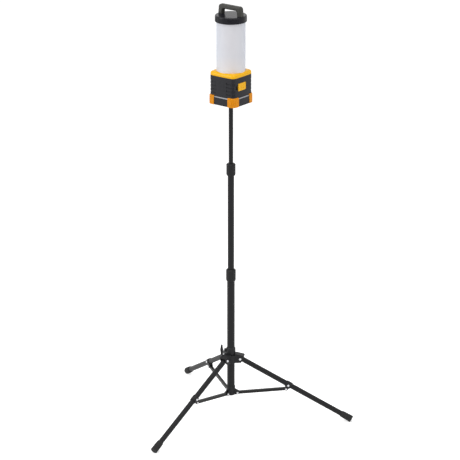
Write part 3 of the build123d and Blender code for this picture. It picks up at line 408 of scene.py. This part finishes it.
for side, turn in (("front", -90), ("right", 30), ("left", 150)):
    bpy.ops.object.select_all(action="DESELECT")
    one = boot.copy()
    one.data = boot.data.copy()
    one.name = "rubber_boot_" + side
    bpy.context.scene.collection.objects.link(one)
    lean = up_leg.to_track_quat("Z", "Y")
    one.location = boot_end
    one.rotation_mode = "QUATERNION"
    one.rotation_quaternion = lean
    one.select_set(True)
    bpy.context.view_layer.objects.active = one
    bpy.ops.object.transform_apply(location=True, rotation=True, scale=True)
    one.rotation_mode = "XYZ"
    one.rotation_euler = (0, 0, radians(turn))
    bpy.ops.object.transform_apply(location=True, rotation=True, scale=True)
    bpy.ops.object.mode_set(mode="EDIT")
    bpy.ops.mesh.select_all(action="SELECT")
    bpy.ops.mesh.bisect(plane_co=(0, 0, 0), plane_no=(0, 0, 1), clear_inner=True, use_fill=True)
    bpy.ops.object.mode_set(mode="OBJECT")
    one.data.materials.clear()
    one.data.materials.append(rubber)
    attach(one, "leg_" + side)
    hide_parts("foot_" + side)
bpy.data.objects.remove(boot)
bpy.ops.object.select_all(action="DESELECT")

# ---- Lamp housing ----
# Two black mouldings screwed together front to back, standing on a base skirt;
# both have a fine spark-eroded grain.
housing_plastic = finish(
    "black_housing_plastic", (0.009, 0.009, 0.0125), (0.05, 0.05, 0.056), 0.4, size=850.0,
    depth=0.2, patch_size=50.0, spread=0.08, width=0.0009, amount=0.6, shade=0.2,
    specular=0.22,
)
dress(
    housing_plastic, "front_housing", "rear_housing", "base_skirt", "base_plate", "port_panel",
    "power_switch",
)

# Four cross-head screws hold the rear half to the front one.
head_radius, head_thick, head_sunk = 0.0032, 0.0012, 0.0002
slot_length, slot_width, slot_depth = 0.0036, 0.0008, 0.001
from_middle, from_edge = 0.017, 0.0055
bpy.ops.mesh.primitive_cylinder_add(
    vertices=40, radius=head_radius, depth=head_thick, location=(0, 0, 0)
)
screw = bpy.context.object
screw.name = "rear_screw"
bpy.ops.object.mode_set(mode="EDIT")
bpy.ops.mesh.select_mode(type="EDGE")
bpy.ops.mesh.select_all(action="DESELECT")
bpy.ops.object.mode_set(mode="OBJECT")
for side in screw.data.edges:
    ends = [screw.data.vertices[i].co.z for i in side.vertices]
    side.select = min(ends) > 0
bpy.ops.object.mode_set(mode="EDIT")
bpy.ops.mesh.bevel(offset=0.0005, segments=3)
bpy.ops.object.mode_set(mode="OBJECT")
for turn in (0, 90):
    bpy.ops.mesh.primitive_cube_add(
        size=1, location=(0, 0, head_thick / 2), rotation=(0, 0, radians(turn))
    )
    slot_cut = bpy.context.object
    slot_cut.scale = (slot_length, slot_width, slot_depth)
    bpy.ops.object.transform_apply(location=True, rotation=True, scale=True)
    bpy.context.view_layer.objects.active = screw
    cut = screw.modifiers.new("cross", "BOOLEAN")
    cut.operation = "DIFFERENCE"
    cut.solver = "EXACT"
    cut.object = slot_cut
    bpy.ops.object.modifier_apply(modifier=cut.name)
    bpy.data.objects.remove(slot_cut)
lamp_low, lamp_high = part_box("rear_housing")
screws = []
for x in (-from_middle, from_middle):
    for z in (lamp_low.z + from_edge, lamp_high.z - from_edge):
        bpy.ops.object.select_all(action="DESELECT")
        one = screw.copy()
        one.data = screw.data.copy()
        bpy.context.scene.collection.objects.link(one)
        one.location = (x, lamp_high.y - head_sunk, z)
        one.rotation_euler = (radians(-90), 0, 0)
        one.select_set(True)
        bpy.context.view_layer.objects.active = one
        bpy.ops.object.transform_apply(location=True, rotation=True, scale=True)
        screws.append(one)
bpy.data.objects.remove(screw)
for one in screws:
    one.select_set(True)
bpy.context.view_layer.objects.active = screws[0]
bpy.ops.object.join()
rear_screws = bpy.context.object
rear_screws.name = "rear_screws"
bpy.ops.object.shade_smooth_by_angle(angle=radians(30))
rear_screws.data.materials.clear()
rear_screws.data.materials.append(zinc)
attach(rear_screws, "lamp")
bpy.ops.object.select_all(action="DESELECT")

# ---- Silver trim, a painted highlight ----
# A satin silvery lip between the corner bumpers, where the body steps in from
# the skirt; its pale colour is a painted highlight of the light glancing off that step.
highlight_lip = finish(
    "silver_lip_painted_highlight", (0.34, 0.34, 0.36), (0.7, 0.7, 0.7), 0.32, size=1500.0, depth=0.05,
    metallic=0.7, amount=0.2,
)
dress(highlight_lip, "base_trim")

# ---- Yellow mouldings ----
# Glossy yellow plastic for the shoulder, the port door and the four corner
# bumpers; the bumpers are a softer, deeper shade.
yellow = finish(
    "glossy_yellow_plastic", (0.82, 0.42, 0.0), (0.93, 0.62, 0.1), 0.26, size=900.0,
    depth=0.05, spread=0.06, shade=0.05, amount=0.3, specular=0.22,
)
dress(yellow, "shoulder", "port_door")
amber = finish(
    "amber_bumper_plastic", (0.66, 0.235, 0.0), (0.85, 0.42, 0.03), 0.38, size=800.0,
    depth=0.12, spread=0.1, shade=0.12, amount=0.35, specular=0.18,
)
dress(amber, "corner_bumpers")

# ---- Diffuser ----
# A frosted polycarbonate tube over the LED core: milky white, with fine drawn rings.
# Its foot carries a painted warm reflection of the yellow shoulder, and its wall a
# painted bluish sheen where it is seen edge on.
frost = bpy.data.materials.new("frosted_diffuser")
frost.use_nodes = True
tree = frost.node_tree
shader = tree.nodes["Principled BSDF"]
skin = tree.nodes.new("ShaderNodeGroup")
skin.node_tree = grain
skin.inputs["Size"].default_value = 600.0
skin.inputs["Patch Size"].default_value = 12.0
skin.inputs["Roughness"].default_value = 0.42
skin.inputs["Spread"].default_value = 0.06
tint = tree.nodes.new("ShaderNodeMix")
tint.data_type = "RGBA"
tint.inputs[6].default_value = (0.56, 0.56, 0.6, 1)
tint.inputs[7].default_value = (0.66, 0.65, 0.675, 1)
tree.links.new(skin.outputs["Patches"], tint.inputs[0])
where = tree.nodes.new("ShaderNodeTexCoord")
height = tree.nodes.new("ShaderNodeSeparateXYZ")
tree.links.new(where.outputs["Object"], height.inputs["Vector"])
# Painted reflection: the tube's foot is tinted warm, standing in for light thrown up from the yellow
# shoulder; the tint fades out over the lowest 35 percent of the tube.
diffuser_bottom, diffuser_top = (corner.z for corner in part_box("diffuser"))
shoulder_bounce_fade = tree.nodes.new("ShaderNodeMapRange")
shoulder_bounce_fade.inputs["From Min"].default_value = diffuser_bottom
shoulder_bounce_fade.inputs["From Max"].default_value = diffuser_bottom + 0.35 * (diffuser_top - diffuser_bottom)
shoulder_bounce_fade.inputs["To Min"].default_value = 0.7
shoulder_bounce_fade.inputs["To Max"].default_value = 0.0
tree.links.new(height.outputs["Z"], shoulder_bounce_fade.inputs["Value"])
painted_shoulder_bounce = tree.nodes.new("ShaderNodeMix")
painted_shoulder_bounce.data_type = "RGBA"
painted_shoulder_bounce.inputs[7].default_value = (0.74, 0.67, 0.62, 1)
tree.links.new(shoulder_bounce_fade.outputs["Result"], painted_shoulder_bounce.inputs[0])
tree.links.new(tint.outputs[2], painted_shoulder_bounce.inputs[6])
# Painted sheen: the wall is tinted a pale bluish grey where it is seen edge on.
edge_on = tree.nodes.new("ShaderNodeLayerWeight")
edge_on.inputs["Blend"].default_value = 0.3
painted_edge_sheen = tree.nodes.new("ShaderNodeMix")
painted_edge_sheen.data_type = "RGBA"
painted_edge_sheen.inputs[7].default_value = (0.56, 0.62, 0.72, 1)
tree.links.new(edge_on.outputs["Facing"], painted_edge_sheen.inputs[0])
tree.links.new(painted_shoulder_bounce.outputs[2], painted_edge_sheen.inputs[6])
tree.links.new(painted_edge_sheen.outputs[2], shader.inputs["Base Color"])
tree.links.new(skin.outputs["Roughness"], shader.inputs["Roughness"])
rings = tree.nodes.new("ShaderNodeTexWave")
rings.wave_type = "BANDS"
rings.bands_direction = "Z"
rings.inputs["Scale"].default_value = 45.0
rings.inputs["Distortion"].default_value = 0.4
tree.links.new(where.outputs["Object"], rings.inputs["Vector"])
relief = tree.nodes.new("ShaderNodeBump")
relief.inputs["Strength"].default_value = 0.12
relief.inputs["Distance"].default_value = 0.0003
tree.links.new(rings.outputs["Fac"], relief.inputs["Height"])
tree.links.new(relief.outputs["Normal"], shader.inputs["Normal"])
shader.inputs["Coat Weight"].default_value = 0.2
shader.inputs["Coat Roughness"].default_value = 0.25
shader.inputs["Subsurface Weight"].default_value = 0.2
shader.inputs["Subsurface Radius"].default_value = (0.004, 0.004, 0.004)
dress(frost, "diffuser")

# ---- Light source and electronics ----
# An aluminium post with eight LED boards, the driver board and the battery.
aluminium = finish(
    "extruded_aluminium", (0.7, 0.7, 0.71), (0.85, 0.85, 0.85), 0.35, size=1200.0, depth=0.1,
    metallic=1.0,
)
dress(aluminium, "led_core")
white_mask = finish(
    "white_solder_mask", (0.78, 0.77, 0.7), (0.7, 0.6, 0.3), 0.35, size=1200.0, depth=0.05,
)
dress(white_mask, "led_strips")
green_mask = finish(
    "green_solder_mask", (0.015, 0.12, 0.04), (0.4, 0.35, 0.15), 0.3, size=1200.0, depth=0.06,
)
dress(green_mask, "driver_board")
cell_sleeve = finish(
    "teal_cell_sleeve", (0.03, 0.22, 0.2), (0.2, 0.4, 0.38), 0.25, size=600.0, depth=0.05,
    coat=0.3,
)
dress(cell_sleeve, "battery_cells")
tray_plastic = finish(
    "grey_tray_plastic", (0.18, 0.18, 0.185), (0.3, 0.3, 0.3), 0.5, size=800.0, depth=0.15,
)
dress(tray_plastic, "battery_tray")

# ---- Power button ----
# A soft black rubber cap that stands a little proud of the rear housing.
button_rubber = finish(
    "button_rubber", (0.02, 0.02, 0.023), (0.07, 0.07, 0.07), 0.6, size=600.0, depth=0.2,
    specular=0.35,
)
dress(button_rubber, "power_button")

# ---- Cap ----
# A ribbed black moulding that closes the diffuser's top, a shade bluer and
# glossier than the housing.
cap_plastic = finish(
    "black_cap_plastic", (0.005, 0.005, 0.008), (0.06, 0.06, 0.07), 0.24, size=900.0,
    depth=0.12, width=0.0012, amount=0.6, shade=0.2, specular=0.2,
)
dress(cap_plastic, "cap")

# ---- Handle ----
# A hollow loop in dark grey nylon, with a dull fine grain.
handle_nylon = finish(
    "dark_handle_nylon", (0.026, 0.026, 0.022), (0.07, 0.07, 0.062), 0.46, size=650.0,
    depth=0.3, patch_size=60.0, width=0.0015, amount=0.45, shade=0.15, specular=0.35,
)
dress(handle_nylon, "handle")

# ---- Floor and backdrop ----
# A plain white sweep, white to the camera and to reflections, that takes the
# stand's soft shadow.
bpy.ops.mesh.primitive_plane_add(size=30, location=(0, 0, 0))
floor = bpy.context.object
floor.name = "studio_floor"
floor_paint = bpy.data.materials.new("white_floor")
floor_paint.use_nodes = True
shader = floor_paint.node_tree.nodes["Principled BSDF"]
shader.inputs["Base Color"].default_value = (0.96, 0.96, 0.96, 1)
shader.inputs["Roughness"].default_value = 0.9
shader.inputs["Specular IOR Level"].default_value = 0.0
floor_path = floor_paint.node_tree.nodes.new("ShaderNodeLightPath")
floor_seen = math_node(
    floor_paint.node_tree, "MAXIMUM", floor_path.outputs["Is Camera Ray"],
    floor_path.outputs["Is Glossy Ray"],
)
floor_seen = math_node(
    floor_paint.node_tree, "MAXIMUM", floor_seen, floor_path.outputs["Is Transmission Ray"]
)
floor_glow = math_node(floor_paint.node_tree, "MULTIPLY", floor_seen, 0.5)
shader.inputs["Emission Color"].default_value = (1, 1, 1, 1)
floor_paint.node_tree.links.new(floor_glow, shader.inputs["Emission Strength"])
floor.data.materials.append(floor_paint)

world = bpy.data.worlds.new("studio_world")
bpy.context.scene.world = world
world.use_nodes = True
tree = world.node_tree
back = tree.nodes["Background"]
path = tree.nodes.new("ShaderNodeLightPath")
seen = math_node(tree, "MAXIMUM", path.outputs["Is Camera Ray"], path.outputs["Is Glossy Ray"])
seen = math_node(tree, "MAXIMUM", seen, path.outputs["Is Transmission Ray"])
level = math_node(tree, "MULTIPLY", seen, 0.45)
level = math_node(tree, "ADD", level, 0.55)
tree.links.new(level, back.inputs["Strength"])
back.inputs["Color"].default_value = (1, 1, 1, 1)

# ---- Studio lights ----
# A tall soft box on the left, a broad fill on the right and one overhead.
for name, place_at, aim, size_x, size_y, power in (
    ("left_softbox", (-2.6, -3.4, 2.4), (0, 0, 0.9), 1.6, 3.0, 75),
    ("right_fill", (4.4, -0.6, 2.2), (0, 0, 0.9), 2.4, 2.4, 48),
    ("overhead", (0.4, -0.6, 4.2), (0, 0, 1.0), 2.6, 2.6, 55),
):
    lamp_data = bpy.data.lights.new(name, "AREA")
    lamp_data.shape = "RECTANGLE"
    lamp_data.size = size_x
    lamp_data.size_y = size_y
    lamp_data.energy = power
    lamp_object = bpy.data.objects.new(name, lamp_data)
    bpy.context.scene.collection.objects.link(lamp_object)
    lamp_object.location = place_at
    lamp_object.rotation_euler = (Vector(aim) - Vector(place_at)).to_track_quat("-Z", "Y").to_euler()

# ---- Camera ----
# A long lens from the right front, a little above the lamp.
camera_data = bpy.data.cameras.new("studio_camera")
camera_data.lens = 202.2
camera_data.sensor_width = 36.0
camera_data.shift_x = -0.002
camera_data.clip_end = 60.0
camera = bpy.data.objects.new("studio_camera", camera_data)
bpy.context.scene.collection.objects.link(camera)
stand_off, eye_height, round_from_x, look_down = 8.8, 3.714, -52, 18.79
camera.location = (
    stand_off * cos(radians(round_from_x)), stand_off * sin(radians(round_from_x)), eye_height
)
camera.rotation_euler = (radians(90 - look_down), 0, radians(90 + round_from_x))
bpy.context.scene.camera = camera
bpy.context.scene.view_settings.view_transform = "Standard"
